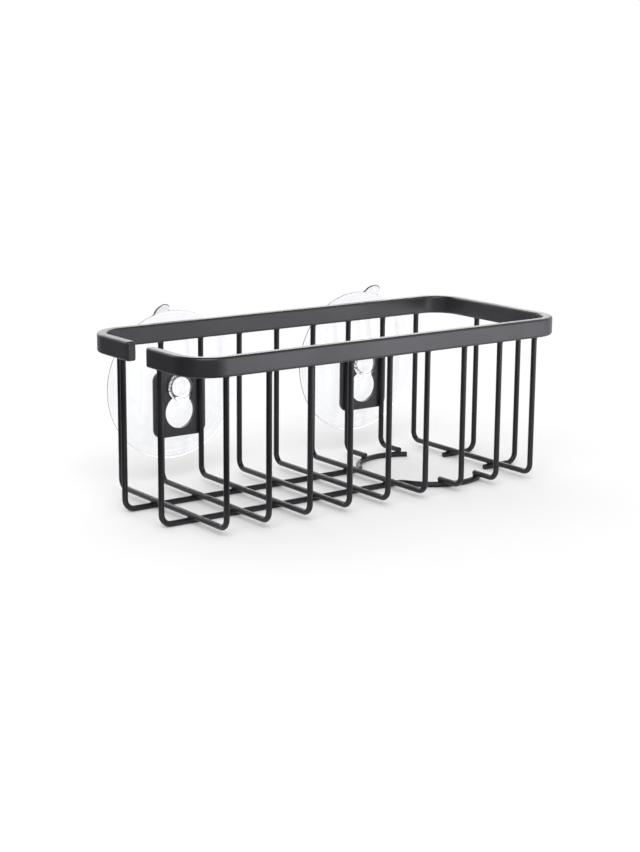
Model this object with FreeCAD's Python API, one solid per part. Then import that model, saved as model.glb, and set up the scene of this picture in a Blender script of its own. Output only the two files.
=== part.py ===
# Wire sponge holder with a round opening in its floor, hung on a wall by two suction cups.
# Millimetres, +Z up, X along the length, +Y towards the wall.
# The origin lies under the middle of the whole holder, at the level of its lowest wires.
import FreeCAD
import Part
import math
import os

# Round wire and its welds
WIRE_DIA = 2.4
WELD_SINK = 0.2        # two crossed wires melt into each other by this much
STUB_OVERHANG = 1.2    # a stub's cut end reaches this far past the axis of the rail below it
RAIL_OVERHANG = 3.6    # the same for the cut ends of the rails and end wires
END_ROUND = 0.4        # radius round the face of a cut end

# Rim, a flat bar on edge, bent into a C that stays open at the left end
BAR_HEIGHT = 8.0
BAR_THICK = 4.2
BAR_EDGE = 1.0         # radius along the bar's long edges and round its two ends
RIM_CORNER = 15.0      # outer radius of the four corners in plan
RIM_GAP = 13.8         # clear width of the open end

# Basket wires: evenly pitched cross wires over two lengthwise rails
WIRE_COUNT = 9
WIRE_PITCH = 20.0
LEFT_MARGIN = 13.6     # first cross wire to the middle of the bar at the left end
RIGHT_MARGIN = 15.0    # last cross wire to the middle of the bar at the right end
BASKET_DEPTH = 80.6    # front legs to back legs, axis to axis
LEG_LENGTH = 60.5      # underside of the rim to the axis of the cross wires' floor runs
CROSS_BEND = 4.0       # bend radii are on the wire's axis
RAIL_BEND = 4.4
RAIL_SPACING = 28.4    # front rail to back rail, axis to axis

# Opening in the floor: the rails swing apart round it, and two cross wires stop short of it
OPENING_WIRE = 7       # the opening is centred between this cross wire and the next one
OPENING_BEND = 23.0
OPENING_STRETCH = 13.0  # centre of the front bend to the centre of the back bend
ENTRY_BEND = 5.0       # where a rail leaves its straight run

# Suction cups, soft mouldings with a mushroom head on a neck
CUP_BAYS = {"left": 2, "right": 7}           # each is centred between this cross wire and the next one
TAB_ANGLES = {"left": -10.0, "right": 14.0}  # lean of the release tab from straight up, towards +X
CUP_DIA = 65.0
CUP_DROP = 20.7        # centre of the cup below the underside of the rim
CUP_BODY = 4.8         # wall to the shoulder that faces the keyhole plate
LIP_THICK = 0.9
LIP_WIDTH = 4.0        # flat sealing band round the hollow
CAVITY_DEPTH = 1.8
SHOULDER_DIA = 19.0
SHOULDER_STEP = 0.9
NECK_DIA = 7.5
HEAD_DIA = 12.5
HEAD_RIM = 1.6         # straight part of the head's edge
HEAD_CROWN = 2.4
TAB_WIDTH = 7.6
TAB_LENGTH = 5.5
TAB_THICK = 0.9
TAB_TILT = 40.0        # tab leans off the wall, so that a nail gets under it
TAB_ROOT = 0.6         # tab set back into the lip
SOFT_EDGE = 0.3        # radius round the moulded edges of head, shoulder and tab

# Keyhole plates welded on two neighbouring back legs
PLATE_THICK = 1.5
PLATE_BORDER = 3.5     # metal left round the keyhole, and beside the legs
PLATE_CORNER = 4.0
PLATE_EDGE = 0.3       # radius round both faces of the blank
KEYHOLE_DROP = 11.0    # seat of the neck down to the centre of the entry hole
NECK_GAP = 0.08        # clearance of the neck in its slot, and of the plate between shoulder and head
ENTRY_GAP = 1.0        # clearance of the head in the entry hole

# Levels and lines that follow from the sizes above
WIRE_RADIUS = WIRE_DIA / 2
CROSSING = WIRE_DIA - WELD_SINK
RAIL_Z = WIRE_RADIUS
RUN_Z = RAIL_Z + CROSSING
RIM_Z = RUN_Z + LEG_LENGTH
LEG_Y = BASKET_DEPTH / 2
RAIL_Y = RAIL_SPACING / 2
END_X = ((WIRE_COUNT - 1) * WIRE_PITCH + LEFT_MARGIN + RIGHT_MARGIN) / 2
FIRST_X = LEFT_MARGIN - END_X
OPENING_X = FIRST_X + (OPENING_WIRE - 0.5) * WIRE_PITCH
CUP_Z = RIM_Z - CUP_DROP
PLATE_Y = LEG_Y + WIRE_RADIUS - WELD_SINK
SHOULDER_Y = PLATE_Y + PLATE_THICK + NECK_GAP
WALL_Y = SHOULDER_Y + CUP_BODY
FRONT_Y = -LEG_Y - BAR_THICK / 2
TO_ORIGIN = FreeCAD.Vector(0, -(WALL_Y + FRONT_Y) / 2, 0)

V = FreeCAD.Vector
UP = V(0, 0, 1)
BACK = V(0, 1, 0)


def save(node, shape):
    """Moves one finished piece from the basket's middle to the origin and writes it."""
    solid = shape.copy()
    solid.translate(TO_ORIGIN)
    solid.exportStep("parts/" + node + ".step")


def line(start, end):
    return Part.LineSegment(start, end).toShape()


def arc(start, middle, end):
    return Part.Arc(start, middle, end).toShape()


def unit(vector):
    return vector * (1 / vector.Length)


def bent_path(points, radius):
    """Straight runs through the points, with a square bend of this radius at each inner one."""
    edges = []
    start = points[0]
    for before, corner, after in zip(points, points[1:], points[2:]):
        inward = unit(before - corner) * radius
        onward = unit(after - corner) * radius
        centre = corner + inward + onward
        middle = centre + unit(corner - centre) * radius
        edges.append(line(start, corner + inward))
        edges.append(arc(corner + inward, middle, corner + onward))
        start = corner + onward
    edges.append(line(start, points[-1]))
    return edges


def sweep(edges, outline):
    """Carries a flat outline along straight runs and bends, and joins the lengths into one solid."""
    lengths = []
    face = Part.Face(outline)
    for edge in edges:
        if isinstance(edge.Curve, Part.Circle):
            turn = math.degrees(edge.LastParameter - edge.FirstParameter)
            lengths.append(face.revolve(edge.Curve.Center, edge.Curve.Axis, turn))
            face = face.copy()
            face.rotate(edge.Curve.Center, edge.Curve.Axis, turn)
        else:
            step = edge.valueAt(edge.LastParameter) - edge.valueAt(edge.FirstParameter)
            lengths.append(face.extrude(step))
            face = face.copy()
            face.translate(step)
    return lengths[0].fuse(lengths[1:]).removeSplitter()


def round_wire(edges, cut_end=None):
    """A bent length of wire, with the edge of a free cut end rounded."""
    first = edges[0]
    start = first.valueAt(first.FirstParameter)
    tangent = first.tangentAt(first.FirstParameter)
    solid = sweep(edges, Part.Wire(Part.Circle(start, tangent, WIRE_RADIUS).toShape()))
    if cut_end is not None:
        edge = min(solid.Edges, key=lambda e: e.CenterOfMass.distanceToPoint(cut_end))
        solid = solid.makeFillet(END_ROUND, [edge])
    return solid


def rounded_rectangle(centre, across, along, width, height, radius):
    """A closed outline with four round corners, begun in the middle of one side."""
    side = across * (width / 2)
    end = along * (height / 2)
    corners = [centre + side + end, centre - side + end, centre - side - end, centre + side - end]
    return Part.Wire(bent_path([centre + side] + corners + [centre + side], radius))


def wire_x(number):
    """Place along the holder of a cross wire, counted from 1 at the left."""
    return FIRST_X + (number - 1) * WIRE_PITCH


def bend_line(edge):
    """Whether an edge of the bar is only the upright line where a straight run meets a bend."""
    upright = edge.BoundBox.ZLength > BAR_HEIGHT / 2
    return upright and abs(edge.CenterOfMass.y) > RIM_GAP


def rim():
    """The flat bar swept round the basket from one side of the gap to the other."""
    axis_corner = RIM_CORNER - BAR_THICK / 2
    middle_z = RIM_Z + BAR_HEIGHT / 2
    plan = [(-END_X, RIM_GAP / 2), (-END_X, LEG_Y), (END_X, LEG_Y),
            (END_X, -LEG_Y), (-END_X, -LEG_Y), (-END_X, -RIM_GAP / 2)]
    points = [V(x, y, middle_z) for x, y in plan]
    start = points[0]
    side = V(BAR_THICK / 2, 0, 0)
    half = UP * (BAR_HEIGHT / 2)
    corners = [start + side + half, start - side + half, start - side - half, start + side - half]
    bar = sweep(bent_path(points, axis_corner), Part.makePolygon(corners + corners[:1]))
    return bar.makeFillet(BAR_EDGE, [edge for edge in bar.Edges if not bend_line(edge)])


def cross_wire(number):
    """A U of wire, butt welded under the rim at the front and at the back."""
    x = wire_x(number)
    points = [V(x, -LEG_Y, RIM_Z), V(x, -LEG_Y, RUN_Z), V(x, LEG_Y, RUN_Z), V(x, LEG_Y, RIM_Z)]
    return round_wire(bent_path(points, CROSS_BEND))


def opening_y(x):
    """How far the bend of a rail stands out from the basket's middle line, level with x."""
    return OPENING_STRETCH / 2 + math.sqrt(OPENING_BEND ** 2 - (x - OPENING_X) ** 2)


def stub_wire(number, side):
    """A leg beside the opening, whose floor run stops just past the bend of the rail."""
    x = wire_x(number)
    end = V(x, side * (opening_y(x) - STUB_OVERHANG), RUN_Z)
    points = [V(x, side * LEG_Y, RIM_Z), V(x, side * LEG_Y, RUN_Z), end]
    return round_wire(bent_path(points, CROSS_BEND), cut_end=end)


def rail(side):
    """A leg at the left end, a straight run under the cross wires and a bend round the opening."""
    bend_centre = V(OPENING_X, side * OPENING_STRETCH / 2, RAIL_Z)
    entry_rise = RAIL_Y + ENTRY_BEND - OPENING_STRETCH / 2
    entry_x = OPENING_X - math.sqrt((OPENING_BEND + ENTRY_BEND) ** 2 - entry_rise ** 2)
    entry_centre = V(entry_x, side * (RAIL_Y + ENTRY_BEND), RAIL_Z)
    entry_start = V(entry_x, side * RAIL_Y, RAIL_Z)
    apart = unit(bend_centre - entry_centre)
    entry_end = entry_centre + apart * ENTRY_BEND
    entry_middle = entry_centre + unit(unit(entry_start - entry_centre) + apart) * ENTRY_BEND
    far_middle = bend_centre + V(0, side * OPENING_BEND, 0)
    end_x = wire_x(OPENING_WIRE + 1) + RAIL_OVERHANG
    end = V(end_x, side * opening_y(end_x), RAIL_Z)

    leg = [V(-END_X, side * RAIL_Y, RIM_Z), V(-END_X, side * RAIL_Y, RAIL_Z), entry_start]
    edges = bent_path(leg, RAIL_BEND)
    edges.append(arc(entry_start, entry_middle, entry_end))
    edges.append(arc(entry_end, far_middle, end))
    return round_wire(edges, cut_end=end)


def end_wire(side):
    """A leg at the right end, in line with a rail, whose floor run stops just past the last cross wire."""
    end = V(wire_x(WIRE_COUNT) - RAIL_OVERHANG, side * RAIL_Y, RAIL_Z)
    points = [V(END_X, side * RAIL_Y, RIM_Z), V(END_X, side * RAIL_Y, RAIL_Z), end]
    return round_wire(bent_path(points, RAIL_BEND), cut_end=end)


def cup_x(side):
    return wire_x(CUP_BAYS[side]) + WIRE_PITCH / 2


def keyhole_plate(side):
    """A flat plate across two back legs: the head goes in low, and the neck seats at the top of the slot."""
    x = cup_x(side)
    slot_radius = NECK_DIA / 2 + NECK_GAP
    entry_radius = HEAD_DIA / 2 + ENTRY_GAP
    top = CUP_Z + slot_radius + PLATE_BORDER
    bottom = CUP_Z - KEYHOLE_DROP - entry_radius - PLATE_BORDER
    width = WIRE_PITCH + WIRE_DIA + PLATE_BORDER
    centre = V(x, PLATE_Y, (top + bottom) / 2)
    outline = rounded_rectangle(centre, V(1, 0, 0), UP, width, top - bottom, PLATE_CORNER)
    plate = Part.Face(outline).extrude(BACK * PLATE_THICK)
    plate = plate.makeFillet(PLATE_EDGE, [edge for edge in plate.Edges if edge.BoundBox.YLength < PLATE_EDGE])
    seat = Part.makeCylinder(slot_radius, PLATE_THICK, V(x, PLATE_Y, CUP_Z), BACK)
    entry = Part.makeCylinder(entry_radius, PLATE_THICK, V(x, PLATE_Y, CUP_Z - KEYHOLE_DROP), BACK)
    slot_corner = V(x - slot_radius, PLATE_Y, CUP_Z - KEYHOLE_DROP)
    slot = Part.makeBox(2 * slot_radius, PLATE_THICK, KEYHOLE_DROP, slot_corner)
    return plate.cut(seat).cut(slot).cut(entry).removeSplitter()


def spot(out, off):
    """A point of a cup's half section: distance from its axis, and off the wall."""
    return V(out, -off, 0)


def dished(out_a, off_a, out_b, off_b):
    """A stretch of a round dome whose centre is on the cup's axis."""
    rise = off_b - off_a
    centre = (out_b ** 2 - out_a ** 2 + off_b ** 2 - off_a ** 2) / (2 * rise)
    size = math.hypot(out_a, off_a - centre)
    angle = (math.atan2(out_a, off_a - centre) + math.atan2(out_b, off_b - centre)) / 2
    middle = spot(size * math.sin(angle), centre + size * math.cos(angle))
    return arc(spot(out_a, off_a), middle, spot(out_b, off_b))


def quarter_round(out, off, first):
    """A soft edge about a point, over a right angle that starts this far from straight out."""
    turns = [math.radians(first + part) for part in (0, 45, 90)]
    spots = [spot(out + SOFT_EDGE * math.cos(turn), off + SOFT_EDGE * math.sin(turn)) for turn in turns]
    return arc(*spots)


def cup_body():
    """The cup turned about its axis: a flat lip, a low dome, a shoulder, a neck and a mushroom head."""
    radius = CUP_DIA / 2
    lip_start = radius - LIP_THICK / 2
    hollow = radius - LIP_WIDTH
    shoulder = SHOULDER_DIA / 2
    neck = NECK_DIA / 2
    head = HEAD_DIA / 2
    neck_top = CUP_BODY + PLATE_THICK + 2 * NECK_GAP
    dome_top = CUP_BODY - SHOULDER_STEP
    head_top = neck_top + HEAD_RIM
    section = [
        line(spot(hollow, 0), spot(lip_start, 0)),
        arc(spot(lip_start, 0), spot(radius, LIP_THICK / 2), spot(lip_start, LIP_THICK)),
        dished(lip_start, LIP_THICK, shoulder, dome_top),
        line(spot(shoulder, dome_top), spot(shoulder, CUP_BODY - SOFT_EDGE)),
        quarter_round(shoulder - SOFT_EDGE, CUP_BODY - SOFT_EDGE, 0),
        line(spot(shoulder - SOFT_EDGE, CUP_BODY), spot(neck, CUP_BODY)),
        line(spot(neck, CUP_BODY), spot(neck, neck_top)),
        line(spot(neck, neck_top), spot(head - SOFT_EDGE, neck_top)),
        quarter_round(head - SOFT_EDGE, neck_top + SOFT_EDGE, -90),
        line(spot(head, neck_top + SOFT_EDGE), spot(head, head_top)),
        dished(head, head_top, 0, head_top + HEAD_CROWN),
        line(spot(0, head_top + HEAD_CROWN), spot(0, CAVITY_DEPTH)),
        dished(0, CAVITY_DEPTH, hollow, 0),
    ]
    return Part.Face(Part.Wire(section)).revolve(spot(0, 0), BACK, 360)


def release_tab(lean):
    """A tongue on the edge of the lip, tilted off the wall and leaning this far from straight up."""
    half = TAB_WIDTH / 2
    hinge = V(0, -LIP_THICK / 2, CUP_DIA / 2 - TAB_ROOT)
    flat = hinge + BACK * (TAB_THICK / 2)
    straight = UP * (TAB_ROOT + TAB_LENGTH - half)
    across = V(half, 0, 0)
    tongue = Part.Wire([
        line(flat + across + straight, flat + across),
        line(flat + across, flat - across),
        line(flat - across, flat - across + straight),
        arc(flat - across + straight, flat + straight + UP * half, flat + across + straight),
    ])
    tab = Part.Face(tongue).extrude(BACK * -TAB_THICK)
    level = [edge for edge in tab.Edges if edge.BoundBox.YLength < SOFT_EDGE]
    tab = tab.makeFillet(SOFT_EDGE, [edge for edge in level if edge.BoundBox.ZLength > SOFT_EDGE])
    tab.rotate(hinge, V(1, 0, 0), TAB_TILT)
    tab.rotate(spot(0, 0), BACK, lean)
    return tab


def suction_cup(side):
    """One soft moulding, pressed nearly flat on the wall, with its neck in the seat of the keyhole plate."""
    cup = cup_body().fuse(release_tab(TAB_ANGLES[side])).removeSplitter()
    cup.translate(V(cup_x(side), WALL_Y, CUP_Z))
    return cup


os.makedirs("parts", exist_ok=True)
save("rim", rim())
stub_numbers = (OPENING_WIRE, OPENING_WIRE + 1)
for number in range(1, WIRE_COUNT + 1):
    if number in stub_numbers:
        save("front_stub_%d" % number, stub_wire(number, -1))
        save("back_stub_%d" % number, stub_wire(number, 1))
    else:
        save("cross_wire_%d" % number, cross_wire(number))
for name, side in (("front", -1), ("back", 1)):
    save(name + "_rail", rail(side))
    save(name + "_end_wire", end_wire(side))
for side in CUP_BAYS:
    save("keyhole_plate_" + side, keyhole_plate(side))
    save("suction_cup_" + side, suction_cup(side))
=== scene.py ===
import math

import bmesh
import bpy
from mathutils import Matrix, Vector


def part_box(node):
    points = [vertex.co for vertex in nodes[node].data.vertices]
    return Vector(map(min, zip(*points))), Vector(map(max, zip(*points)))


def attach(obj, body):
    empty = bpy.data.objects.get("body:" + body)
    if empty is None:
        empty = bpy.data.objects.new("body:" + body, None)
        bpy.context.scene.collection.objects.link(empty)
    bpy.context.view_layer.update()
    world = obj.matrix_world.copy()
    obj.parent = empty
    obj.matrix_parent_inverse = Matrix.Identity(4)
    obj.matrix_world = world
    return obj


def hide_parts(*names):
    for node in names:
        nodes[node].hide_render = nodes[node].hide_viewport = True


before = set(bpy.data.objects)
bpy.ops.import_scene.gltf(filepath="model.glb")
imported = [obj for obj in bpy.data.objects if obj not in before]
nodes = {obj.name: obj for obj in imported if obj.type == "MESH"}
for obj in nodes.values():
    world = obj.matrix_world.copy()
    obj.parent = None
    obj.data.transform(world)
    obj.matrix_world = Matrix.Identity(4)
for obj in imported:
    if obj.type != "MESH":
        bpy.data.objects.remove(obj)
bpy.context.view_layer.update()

# Rim: a flat steel bar on edge, bent into a C with round corners and left open at the left end.
# It has a black satin powder coat with a fine orange peel and a few nibs of powder.
# The coat flows thin over the rounded long edges of the bar, so they are a little glossier.
MM = 0.001
COAT_TINT = (0.92, 0.925, 1.0, 1)
PEEL_PER_METRE = 1150.0
NIBS_PER_METRE = 2300.0
NIB_SPAN = (0.16, 0.05)
NIB_HEIGHT = 0.35
DRIFT_PER_METRE = 38.0
DRIFT_SPAN = (0.3, 0.7)
GLOSS_DRIFT = (-0.04, 0.05)
PATCHES_PER_METRE = 160.0
PATCH_SPAN = (0.35, 0.6)
EDGE_SPAN = (0.72, 1.0)
BUMP_STRENGTH = 0.55
BAR_BLACK = (0.0155, 0.0155, 0.0175, 1)
BAR_PALE = (0.022, 0.022, 0.0245, 1)
BAR_IOR = 1.6
BAR_ROUGHNESS = 0.36
BAR_PEEL = 0.06 * MM
BAR_EDGE_GLOSS = 0.07


def new_group(name, outputs):
    """An empty shader node group with float outputs, and its end node."""
    group = bpy.data.node_groups.new(name, "ShaderNodeTree")
    for socket in outputs:
        group.interface.new_socket(name=socket, in_out="OUTPUT", socket_type="NodeSocketFloat")
    return group, group.nodes.new("NodeGroupOutput")


def add(tree, kind, links=None, **settings):
    """A node with its settings; each named socket gets a value or a link from another node."""
    node = tree.nodes.new(kind)
    for key, value in settings.items():
        setattr(node, key, value)
    for socket, source in (links or {}).items():
        target = node.inputs[socket]
        if isinstance(source, bpy.types.NodeSocket):
            tree.links.new(source, target)
        else:
            target.default_value = source
    return node


def math_node(tree, operation, a, b=0.0):
    """The result of one operation on one or two values."""
    return add(tree, "ShaderNodeMath", {0: a, 1: b}, operation=operation).outputs[0]


def ramp(tree, value, span, low=0.0, high=1.0):
    """A smooth step from low to high, while a value crosses a span."""
    links = {"Value": value, "From Min": span[0], "From Max": span[1], "To Min": low, "To Max": high}
    return add(tree, "ShaderNodeMapRange", links, interpolation_type="SMOOTHSTEP").outputs["Result"]


def noise(tree, per_metre, detail, roughness):
    """Smooth noise over a piece."""
    spot = add(tree, "ShaderNodeTexCoord").outputs["Object"]
    links = {"Vector": spot, "Scale": per_metre, "Detail": detail, "Roughness": roughness}
    return add(tree, "ShaderNodeTexNoise", links).outputs["Fac"]


# The relief of the coat, and a slow drift of its tone and gloss.
coat_group, group_out = new_group("powder_coat", ["Height", "Drift"])
spot = add(coat_group, "ShaderNodeTexCoord").outputs["Object"]
nib_cells = add(coat_group, "ShaderNodeTexVoronoi", {"Vector": spot, "Scale": NIBS_PER_METRE})
nibs = ramp(coat_group, nib_cells.outputs["Distance"], NIB_SPAN, 0.0, NIB_HEIGHT)
peel = noise(coat_group, PEEL_PER_METRE, detail=2.0, roughness=0.45)
drift = noise(coat_group, DRIFT_PER_METRE, detail=3.0, roughness=0.55)
coat_group.links.new(math_node(coat_group, "ADD", peel, nibs), group_out.inputs["Height"])
coat_group.links.new(drift, group_out.inputs["Drift"])

# The rounded long edges of a bar or plate, found by their slope of about 45 degrees, in uneven patches.
edge_group, group_out = new_group("thin_edge", ["Mask"])
normal = add(edge_group, "ShaderNodeNewGeometry").outputs["Normal"]
upward = add(edge_group, "ShaderNodeSeparateXYZ", {0: normal}).outputs["Z"]
double_tilt = math_node(edge_group, "MULTIPLY", math_node(edge_group, "ARCSINE", upward), 2.0)
slope = math_node(edge_group, "ABSOLUTE", math_node(edge_group, "SINE", double_tilt))
patches = ramp(edge_group, noise(edge_group, PATCHES_PER_METRE, detail=4.0, roughness=0.6), PATCH_SPAN)
edge_mask = math_node(edge_group, "MULTIPLY", ramp(edge_group, slope, EDGE_SPAN), patches)
edge_group.links.new(edge_mask, group_out.inputs["Mask"])


def coated(name, black, pale, ior, roughness, peel_depth, edge_gloss):
    """The black powder coat, with its tones, roughness and peel, and the extra gloss of thin edges."""
    material = bpy.data.materials.new(name)
    material.use_nodes = True
    tree = material.node_tree
    shader = tree.nodes["Principled BSDF"]
    coat = add(tree, "ShaderNodeGroup", node_tree=coat_group)
    drift = ramp(tree, coat.outputs["Drift"], DRIFT_SPAN)
    tone = add(tree, "ShaderNodeMix", {"Factor": drift, "A": black, "B": pale}, data_type="RGBA")
    low, high = [roughness + change for change in GLOSS_DRIFT]
    rough = ramp(tree, coat.outputs["Drift"], DRIFT_SPAN, low, high)
    if edge_gloss:
        edge = add(tree, "ShaderNodeGroup", node_tree=edge_group)
        gloss = math_node(tree, "MULTIPLY", edge.outputs["Mask"], edge_gloss)
        rough = math_node(tree, "SUBTRACT", rough, gloss)
    relief = {"Height": coat.outputs["Height"], "Strength": BUMP_STRENGTH, "Distance": peel_depth}
    bump = add(tree, "ShaderNodeBump", relief)
    tree.links.new(tone.outputs["Result"], shader.inputs["Base Color"])
    tree.links.new(rough, shader.inputs["Roughness"])
    tree.links.new(bump.outputs["Normal"], shader.inputs["Normal"])
    shader.inputs["IOR"].default_value = ior
    shader.inputs["Specular Tint"].default_value = COAT_TINT
    return material


def finish_node(node, material):
    """Gives a CAD node its material."""
    mesh = nodes[node].data
    mesh.materials.clear()
    mesh.materials.append(material)


bar_coat = coated("bar_powder_coat", BAR_BLACK, BAR_PALE, BAR_IOR, BAR_ROUGHNESS, BAR_PEEL, BAR_EDGE_GLOSS)
finish_node("rim", bar_coat)

# Cross wires: seven round steel wires, each bent into a U and butt welded under the rim at both ends.
# Their floor runs make the bottom of the basket. Their coat is the rim's coat, with its black made deeper as
# painted shade.
# Painted shade: the wire blacks are darker than the rim's blacks to darken the thin wires; this is not a
# different coat.
WIRE_SHADED_BLACK = (0.007, 0.007, 0.008, 1)
WIRE_SHADED_PALE = (0.0115, 0.0115, 0.013, 1)
WIRE_IOR = 1.45
WIRE_ROUGHNESS = 0.34
WIRE_PEEL = 0.05 * MM
shaded_wire_coat = coated("wire_powder_coat_painted_shade", WIRE_SHADED_BLACK, WIRE_SHADED_PALE, WIRE_IOR, WIRE_ROUGHNESS, WIRE_PEEL,
                   edge_gloss=0)
full_wires = ["cross_wire_%d" % number for number in (1, 2, 3, 4, 5, 6, 9)]
for node in full_wires:
    finish_node(node, shaded_wire_coat)

# Stubs: four short bent wires beside the opening in the floor, welded under the rim at the top.
# Their floor runs are cut off on the bends of the rails.
front_stubs = ["front_stub_7", "front_stub_8"]
back_stubs = ["back_stub_7", "back_stub_8"]
for node in front_stubs + back_stubs:
    finish_node(node, shaded_wire_coat)

# Rails: two lengthwise wires welded under the floor runs, each with a leg at the left end.
# They swing apart round the opening in the floor and stop just past the last stubs.
for node in ("front_rail", "back_rail"):
    finish_node(node, shaded_wire_coat)

# End wires: two short bent wires at the right end, in line with the rails.
# They are welded under the rim and under the last cross wire, and cut off just past it.
end_wires = ["front_end_wire", "back_end_wire"]
for node in end_wires:
    finish_node(node, shaded_wire_coat)

# Welds under the rim: each leg is butt welded to the flat of the bar, and the coat rounds off the corner.
# All beads are one mesh, because the coat runs over all of them.
BEAD_PROUD = 0.015 * MM
BEAD_WIDTH = 0.35 * MM
BEAD_HEIGHT = 0.9 * MM
BEAD_SINK = 0.2 * MM
BEAD_TURNS = (0, 22.5, 45, 67.5, 90)
BEAD_STEPS = 28
BEAD_UNEVEN = 0.12
BEAD_PHASE = 2.3
MERGE = 0.001 * MM


def middle(node):
    """The middle of a node's box."""
    low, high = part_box(node)
    return (low + high) / 2


def shape_object(name, mesh, body, material):
    """Turns a finished bmesh into a smooth piece that rides on a body."""
    data = bpy.data.meshes.new(name)
    mesh.to_mesh(data)
    mesh.free()
    data.materials.append(material)
    data.shade_smooth()
    piece = bpy.data.objects.new(name, data)
    bpy.context.scene.collection.objects.link(piece)
    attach(piece, body)
    return piece


def spin_shut(mesh, centre, axis, steps):
    """Spins a mesh of open or closed lines all the way round, with closed seams and poles."""
    bmesh.ops.spin(mesh, geom=mesh.verts[:] + mesh.edges[:], cent=centre, axis=axis, angle=2 * math.pi,
                   steps=steps, use_merge=True)
    bmesh.ops.remove_doubles(mesh, verts=mesh.verts, dist=MERGE)
    bmesh.ops.recalc_face_normals(mesh, faces=mesh.faces)


first_low, first_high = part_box("cross_wire_1")
wire_radius = (first_high.x - first_low.x) / 2
front_leg_y = first_low.y + wire_radius
back_leg_y = first_high.y - wire_radius
rim_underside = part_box("rim")[0].z
leg_tops = [(middle(node).x, front_leg_y) for node in full_wires + front_stubs]
leg_tops += [(middle(node).x, back_leg_y) for node in full_wires + back_stubs]
left_leg_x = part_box("front_rail")[0].x + wire_radius
right_leg_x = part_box("front_end_wire")[1].x - wire_radius
for node in end_wires:
    leg_tops += [(left_leg_x, middle(node).y), (right_leg_x, middle(node).y)]

# The half section of a bead: a hollow fillet from the wire to the bar, closed inside both.
bead_foot = wire_radius + BEAD_PROUD
bead_section = []
for turn in BEAD_TURNS:
    flare = 1 - math.cos(math.radians(turn))
    drop = 1 - math.sin(math.radians(turn))
    bead_section.append((bead_foot + BEAD_WIDTH * flare, -BEAD_HEIGHT * drop))
bead_section += [(bead_foot + BEAD_WIDTH, BEAD_SINK), (wire_radius - BEAD_SINK, BEAD_SINK)]
bead_section += [(wire_radius - BEAD_SINK, -BEAD_HEIGHT)]

beads = bmesh.new()
for count, (x, y) in enumerate(leg_tops):
    swell = 1 + BEAD_UNEVEN * math.sin(BEAD_PHASE * count)
    bead = bmesh.new()
    places = [(x + radius, y, rim_underside + height * swell) for radius, height in bead_section]
    points = [bead.verts.new(place) for place in places]
    for pair in zip(points, points[1:] + points[:1]):
        bead.edges.new(pair)
    spin_shut(bead, (x, y, rim_underside), (0, 0, 1), BEAD_STEPS)
    bead_data = bpy.data.meshes.new("bead")
    bead.to_mesh(bead_data)
    bead.free()
    beads.from_mesh(bead_data)
    bpy.data.meshes.remove(bead_data)
shape_object("leg_weld_beads", beads, "rack", shaded_wire_coat)

# Welds at the crossings: the cross wires and stubs are pressed and melted onto the wires under them.
# A little metal and coat fills the corner round each contact.
STUB_OVERHANG = 1.2 * MM
FILLET_REACH = 1.5 * MM
FILLET_UNEVEN = 0.08 * MM
FILLET_PHASE = 1.9
FILLET_HALF_HEIGHT = 0.45 * MM


def melt(mesh, place, reach):
    """A squashed ball of melted metal and coat, with its half sizes."""
    made = bmesh.ops.create_icosphere(mesh, subdivisions=3, radius=1.0)["verts"]
    bmesh.ops.scale(mesh, vec=reach, verts=made)
    bmesh.ops.translate(mesh, vec=place, verts=made)


crossings = [(middle(node).x, middle(end).y) for node in full_wires for end in end_wires]
crossings += [(middle(node).x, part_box(node)[1].y - STUB_OVERHANG) for node in front_stubs]
crossings += [(middle(node).x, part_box(node)[0].y + STUB_OVERHANG) for node in back_stubs]
contact_z = (first_low.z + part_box("front_rail")[0].z) / 2 + wire_radius
fillets = bmesh.new()
for count, (x, y) in enumerate(crossings):
    wide = FILLET_REACH + FILLET_UNEVEN * math.sin(FILLET_PHASE * count)
    melt(fillets, (x, y, contact_z), (wide, wide, FILLET_HALF_HEIGHT))
shape_object("crossing_weld_fillets", fillets, "rack", shaded_wire_coat)

# Keyhole plates: two stamped steel blanks, each spot welded across two back legs and coated with the rest.
# The head of a cup goes in through the wide part of the hole, and its neck seats in the narrow part.
PLATE_ROUGHNESS = 0.38
PLATE_EDGE_GLOSS = 0.05
SEAM_REACH = Vector((1.3, 0.42, 3.6)) * MM
SEAM_HEIGHTS = (-0.3, 0.3)
plate_coat = coated("plate_powder_coat", BAR_BLACK, BAR_PALE, BAR_IOR, PLATE_ROUGHNESS, BAR_PEEL,
                    PLATE_EDGE_GLOSS)
plate_legs = {"left": ("cross_wire_2", "cross_wire_3"), "right": ("back_stub_7", "back_stub_8")}
seams = bmesh.new()
for side, legs in plate_legs.items():
    plate = "keyhole_plate_" + side
    finish_node(plate, plate_coat)
    low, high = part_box(plate)
    for node in legs:
        for share in SEAM_HEIGHTS:
            z = (low.z + high.z) / 2 + share * (high.z - low.z)
            melt(seams, (middle(node).x, low.y, z), SEAM_REACH)
shape_object("plate_weld_seams", seams, "rack", shaded_wire_coat)

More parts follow.
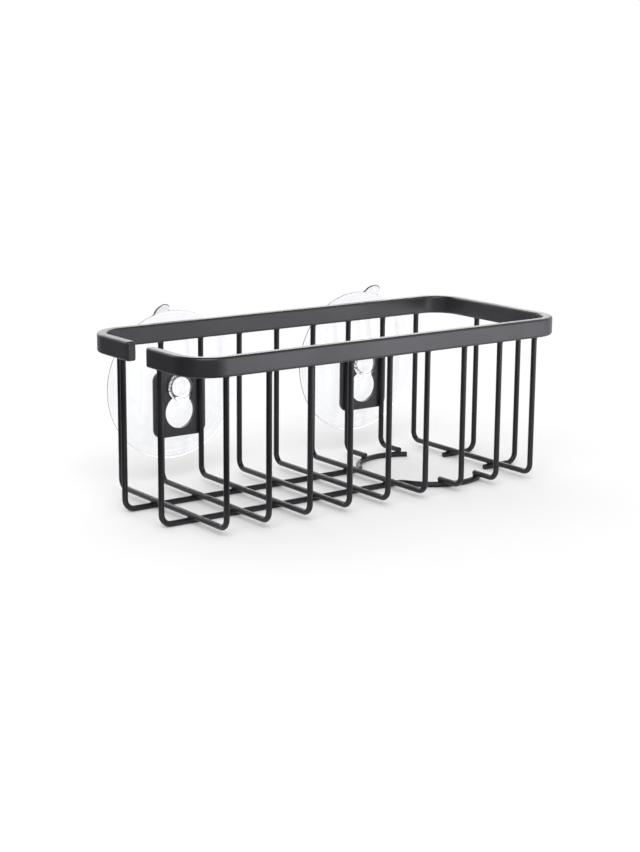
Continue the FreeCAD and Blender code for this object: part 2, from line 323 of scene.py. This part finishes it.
# Suction cups: clear soft vinyl, each moulded in one piece with a mushroom head and a release tab.
# The neck sits in the slot of the keyhole plate and turns there; the thin lip lies flat on the wall.
# The half section is in millimetres: radii from the axis of the cup, and heights off the wall.
CUP_TURNS = {"left": -10.0, "right": 14.0}
CUP_STEPS = 108
HOLLOW_STEPS = 8
DOME_STEPS = 24
HEAD_STEPS = 6
HOLLOW_RADIUS = 28.5
HOLLOW_DEPTH = 1.8
GROOVE_RADII = (29.8, 31.0)
GROOVE_REACH = 0.6
GROOVE_FLOOR = 0.2
GROOVE_DEPTH = 0.12
LIP_THICK = 0.9
LIP_TURNS = (-90, -60, 0, 60, 90)
RING_RADIUS = 25.0
RING_REACH = 0.6
RING_HEIGHT = 0.12
SHOULDER_RADIUS = 9.5
SHOULDER_FOOT = 3.9
SHOULDER_TOP = 4.8
NECK_RADIUS = 3.75
NECK_TOP = 6.46
HEAD_RADIUS = 6.25
HEAD_EDGE = 8.06
HEAD_TOP = 10.4
GATE_RADIUS = 0.95
GATE_SLOPE = 0.15
GATE_DEPTH = 0.16
OUTER_EDGE = 0.3
INNER_EDGE = 0.12
TAB_WIDTH = 7.6
TAB_STRAIGHT = 1.7
TAB_TILT = math.radians(40)
TAB_TURNS = (0, 15, 30, 45, 60, 75, 85)
VINYL_TINT = (0.955, 0.96, 0.985, 1)
VINYL_IOR = 1.5
HAZE_PER_METRE = 45.0
HAZE_SPAN = (0.35, 0.7)
HAZE_LOW = 0.03
HAZE_HIGH = 0.1
RIPPLES_PER_METRE = 60.0
RIPPLE_STRENGTH = 0.25
RIPPLE_DEPTH = 0.25 * MM

vinyl = bpy.data.materials.new("clear_vinyl")
vinyl.use_nodes = True
tree = vinyl.node_tree
shader = tree.nodes["Principled BSDF"]
shader.inputs["Base Color"].default_value = VINYL_TINT
shader.inputs["IOR"].default_value = VINYL_IOR
shader.inputs["Transmission Weight"].default_value = 1.0
haze = noise(tree, HAZE_PER_METRE, detail=4.0, roughness=0.6)
tree.links.new(ramp(tree, haze, HAZE_SPAN, HAZE_LOW, HAZE_HIGH), shader.inputs["Roughness"])
swirl = noise(tree, RIPPLES_PER_METRE, detail=1.0, roughness=0.4)
ripple = add(tree, "ShaderNodeBump", {"Height": swirl, "Strength": RIPPLE_STRENGTH, "Distance": RIPPLE_DEPTH})
tree.links.new(ripple.outputs["Normal"], shader.inputs["Normal"])


def dome(start, end, steps):
    """Points of a round dome about the axis of the cup, from a start to just before an end."""
    (radius_a, height_a), (radius_b, height_b) = start, end
    apart = radius_b ** 2 - radius_a ** 2 + height_b ** 2 - height_a ** 2
    centre = apart / (2 * (height_b - height_a))
    size = math.hypot(radius_a, height_a - centre)
    radii = [radius_a + (radius_b - radius_a) * step / steps for step in range(steps)]
    return [(radius, centre + math.sqrt(size ** 2 - radius ** 2)) for radius in radii]


cup_low, cup_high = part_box("suction_cup_left")
lip_radius = (cup_high.x - cup_low.x) / 2 / MM
half_lip = LIP_THICK / 2
lip_middle = lip_radius - half_lip
outer_corners = [(SHOULDER_RADIUS, SHOULDER_TOP), (HEAD_RADIUS, NECK_TOP)]
inner_corners = [(SHOULDER_RADIUS, SHOULDER_FOOT), (NECK_RADIUS, SHOULDER_TOP), (NECK_RADIUS, NECK_TOP)]

# The half section runs from the middle of the hollow round the lip and over the dome to the head.
cup_section = dome((0, HOLLOW_DEPTH), (HOLLOW_RADIUS, 0), HOLLOW_STEPS) + [(HOLLOW_RADIUS, 0)]
for groove in GROOVE_RADII:
    cup_section.append((groove - GROOVE_REACH, 0))
    cup_section += [(groove - GROOVE_FLOOR, GROOVE_DEPTH), (groove + GROOVE_FLOOR, GROOVE_DEPTH)]
cup_section.append((GROOVE_RADII[-1] + GROOVE_REACH, 0))
for turn in LIP_TURNS:
    out = half_lip * math.cos(math.radians(turn))
    cup_section.append((lip_middle + out, half_lip + half_lip * math.sin(math.radians(turn))))
for radius, height in dome((lip_middle, LIP_THICK), inner_corners[0], DOME_STEPS)[1:]:
    on_ring = abs(radius - RING_RADIUS) < RING_REACH
    cup_section.append((radius, height + RING_HEIGHT * on_ring))
cup_section += [inner_corners[0], outer_corners[0], inner_corners[1], inner_corners[2], outer_corners[1]]
cup_section += dome((HEAD_RADIUS, HEAD_EDGE), (GATE_RADIUS, HEAD_TOP), HEAD_STEPS)
cup_section.append((GATE_RADIUS, HEAD_TOP))
cup_section += [(GATE_RADIUS - GATE_SLOPE, HEAD_TOP - GATE_DEPTH), (0, HEAD_TOP - GATE_DEPTH)]


def on_lip_edge(face):
    """Whether a face lies on the outer edge of the lip, where the tab grows out at the top."""
    place = face.calc_center_median() / MM
    at_top = place.z > lip_middle and abs(place.x) < TAB_WIDTH / 2
    return at_top and abs(-place.y - half_lip) < half_lip / 2


def grow_tab(cup):
    """Draws the release tab out of the top of the lip, with a round end and a tilt off the wall."""
    tip = [face for face in cup.faces if on_lip_edge(face)]
    direction = Vector((0, -math.sin(TAB_TILT), math.cos(TAB_TILT)))
    reach = 0
    width = 1
    for turn in TAB_TURNS:
        step = TAB_STRAIGHT + TAB_WIDTH / 2 * math.sin(math.radians(turn)) - reach
        narrow = math.cos(math.radians(turn)) / width
        grown = bmesh.ops.extrude_face_region(cup, geom=tip)["geom"]
        bmesh.ops.delete(cup, geom=tip, context="FACES")
        verts = [item for item in grown if isinstance(item, bmesh.types.BMVert)]
        tip = [item for item in grown if isinstance(item, bmesh.types.BMFace)]
        bmesh.ops.translate(cup, vec=direction * step * MM, verts=verts)
        bmesh.ops.scale(cup, vec=(narrow, 1, 1), verts=verts)
        reach += step
        width *= narrow


for side, turn in CUP_TURNS.items():
    cup = bmesh.new()
    outline = {place: cup.verts.new((0, -place[1] * MM, place[0] * MM)) for place in cup_section}
    points = list(outline.values())
    for pair in zip(points, points[1:]):
        cup.edges.new(pair)
    for corners, edge in ((outer_corners, OUTER_EDGE), (inner_corners, INNER_EDGE)):
        bmesh.ops.bevel(cup, geom=[outline[corner] for corner in corners], offset=edge * MM,
                        offset_type="OFFSET", affect="VERTICES", segments=2, profile=0.5, material=-1)
    spin_shut(cup, (0, 0, 0), (0, 1, 0), CUP_STEPS)
    grow_tab(cup)
    low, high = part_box("suction_cup_" + side)
    centre = Vector(((low.x + high.x) / 2, high.y, low.z + lip_radius * MM))
    lean = Matrix.Rotation(math.radians(turn), 3, "Y")
    bmesh.ops.rotate(cup, verts=cup.verts, cent=(0, 0, 0), matrix=lean)
    bmesh.ops.translate(cup, vec=centre, verts=cup.verts)
    piece = shape_object("clear_cup_" + side, cup, side + "_cup", vinyl)
    smooth = piece.modifiers.new("soft_edges", "SUBSURF")
    smooth.levels = smooth.render_levels = 1
    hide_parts("suction_cup_" + side)

# Floor: a plain pale sheet under the holder.
# It fades to white away from the holder for every ray that can be seen.
FLOOR_RADIUS = 4.0
FLOOR_PALE = (0.92, 0.92, 0.92, 1)
WHITE = (1, 1, 1, 1)
FADE_SPAN = (0.13, 0.5)


def seen_rays(tree):
    """1 for rays from the camera and for those that are mirrored or let through."""
    path = add(tree, "ShaderNodeLightPath")
    seen = math_node(tree, "MAXIMUM", path.outputs["Is Camera Ray"], path.outputs["Is Glossy Ray"])
    return math_node(tree, "MAXIMUM", seen, path.outputs["Is Transmission Ray"])


def stage_object(name, mesh, material):
    """Turns a finished bmesh into a thing of the stage, which is not part of the holder."""
    data = bpy.data.meshes.new(name)
    mesh.to_mesh(data)
    mesh.free()
    data.materials.append(material)
    thing = bpy.data.objects.new(name, data)
    bpy.context.scene.collection.objects.link(thing)
    return thing


paper = bpy.data.materials.new("pale_paper")
paper.use_nodes = True
tree = paper.node_tree
tree.nodes.clear()
spot = add(tree, "ShaderNodeTexCoord").outputs["Object"]
reach = add(tree, "ShaderNodeVectorMath", {0: spot}, operation="LENGTH").outputs["Value"]
fade = math_node(tree, "MULTIPLY", ramp(tree, reach, FADE_SPAN), seen_rays(tree))
pale = add(tree, "ShaderNodeBsdfDiffuse", {"Color": FLOOR_PALE})
white = add(tree, "ShaderNodeEmission", {"Color": WHITE, "Strength": 1.0})
blend = add(tree, "ShaderNodeMixShader", {0: fade, 1: pale.outputs[0], 2: white.outputs[0]})
add(tree, "ShaderNodeOutputMaterial", {"Surface": blend.outputs[0]})
floor_mesh = bmesh.new()
bmesh.ops.create_circle(floor_mesh, cap_ends=True, radius=FLOOR_RADIUS, segments=96)
stage_object("floor", floor_mesh, paper)

# Light: a large soft box over the front left, a strip behind, a low panel at the right and a pale surround.
# Dark cloths at the left and overhead only show mirrored in the coat, and keep its left faces dark.
# A soft box has its place, aim, width, height and watts, and a cloth its place, turn and size.
SURROUND_FILL = 0.7
SOFT_BOXES = {
    "front_left_box": ((-0.55, -0.8, 1.0), (0, 0, 0.03), 1.1, 0.9, 9.0),
    "back_strip": ((0.4, 1.15, 0.6), (0, 0, 0.03), 1.6, 0.5, 8.0),
    "low_right_panel": ((0.32, -0.4, 0.012), (0.32, -0.4, 1.0), 0.5, 0.4, 2.0),
}
CLOTH_BLACK = (0.01, 0.01, 0.01, 1)
CLOTHS = {
    "left_cloth": ((-0.85, 0.2, 0.6), math.pi / 2, 1.2),
    "left_floor_cloth": ((-0.67, 0.35, 0.001), 0, 1.1),
    "front_floor_cloth": ((-0.37, -0.42, 0.001), 0, 0.68),
    "top_cloth": ((0, -0.2, 1.3), 0, 2.2),
}
world = bpy.data.worlds.new("surround")
bpy.context.scene.world = world
world.use_nodes = True
tree = world.node_tree
surround = tree.nodes["Background"]
surround.inputs["Color"].default_value = WHITE
tree.links.new(ramp(tree, seen_rays(tree), (0.0, 1.0), SURROUND_FILL, 1.0), surround.inputs["Strength"])

for name, (place, aim, width, height, watts) in SOFT_BOXES.items():
    lamp = bpy.data.lights.new(name, "AREA")
    lamp.shape = "RECTANGLE"
    lamp.size = width
    lamp.size_y = height
    lamp.energy = watts
    box = bpy.data.objects.new(name, lamp)
    box.location = place
    box.rotation_euler = (Vector(aim) - Vector(place)).to_track_quat("-Z", "Y").to_euler()
    box.visible_camera = False
    bpy.context.scene.collection.objects.link(box)

cloth = bpy.data.materials.new("dark_cloth")
cloth.use_nodes = True
cloth_shader = cloth.node_tree.nodes["Principled BSDF"]
cloth_shader.inputs["Base Color"].default_value = CLOTH_BLACK
cloth_shader.inputs["Roughness"].default_value = 1.0
for name, (place, turn, size) in CLOTHS.items():
    sheet = bmesh.new()
    bmesh.ops.create_grid(sheet, x_segments=1, y_segments=1, size=size / 2)
    bmesh.ops.rotate(sheet, verts=sheet.verts, cent=(0, 0, 0), matrix=Matrix.Rotation(turn, 3, "Y"))
    bmesh.ops.translate(sheet, vec=place, verts=sheet.verts)
    flag = stage_object(name, sheet, cloth)
    flag.visible_camera = False
    flag.visible_diffuse = False
    flag.visible_transmission = False
    flag.visible_shadow = False

# Camera: at the photograph's place, worked out from the rim and the wires.
# Its turn, tilt and lens give the photograph's frame.
CAMERA_PLACE = Vector((-442.8, -592.3, 191.3)) * MM
AZIMUTH = math.radians(-36.52)
ELEVATION = math.radians(12.56)
ROLL = math.radians(0.48)
LENS = 74.17
level_back = Vector((math.sin(AZIMUTH), -math.cos(AZIMUTH), 0))
back = level_back * math.cos(ELEVATION) + Vector((0, 0, math.sin(ELEVATION)))
level_right = Vector((math.cos(AZIMUTH), math.sin(AZIMUTH), 0))
level_up = back.cross(level_right)
right = level_right * math.cos(ROLL) + level_up * math.sin(ROLL)
up = level_up * math.cos(ROLL) - level_right * math.sin(ROLL)
camera_data = bpy.data.cameras.new("camera")
camera_data.lens = LENS
camera = bpy.data.objects.new("camera", camera_data)
camera.matrix_world = Matrix.Translation(CAMERA_PLACE) @ Matrix((right, up, back)).transposed().to_4x4()
bpy.context.scene.collection.objects.link(camera)
bpy.context.scene.camera = camera
bpy.context.scene.view_settings.view_transform = "Standard"
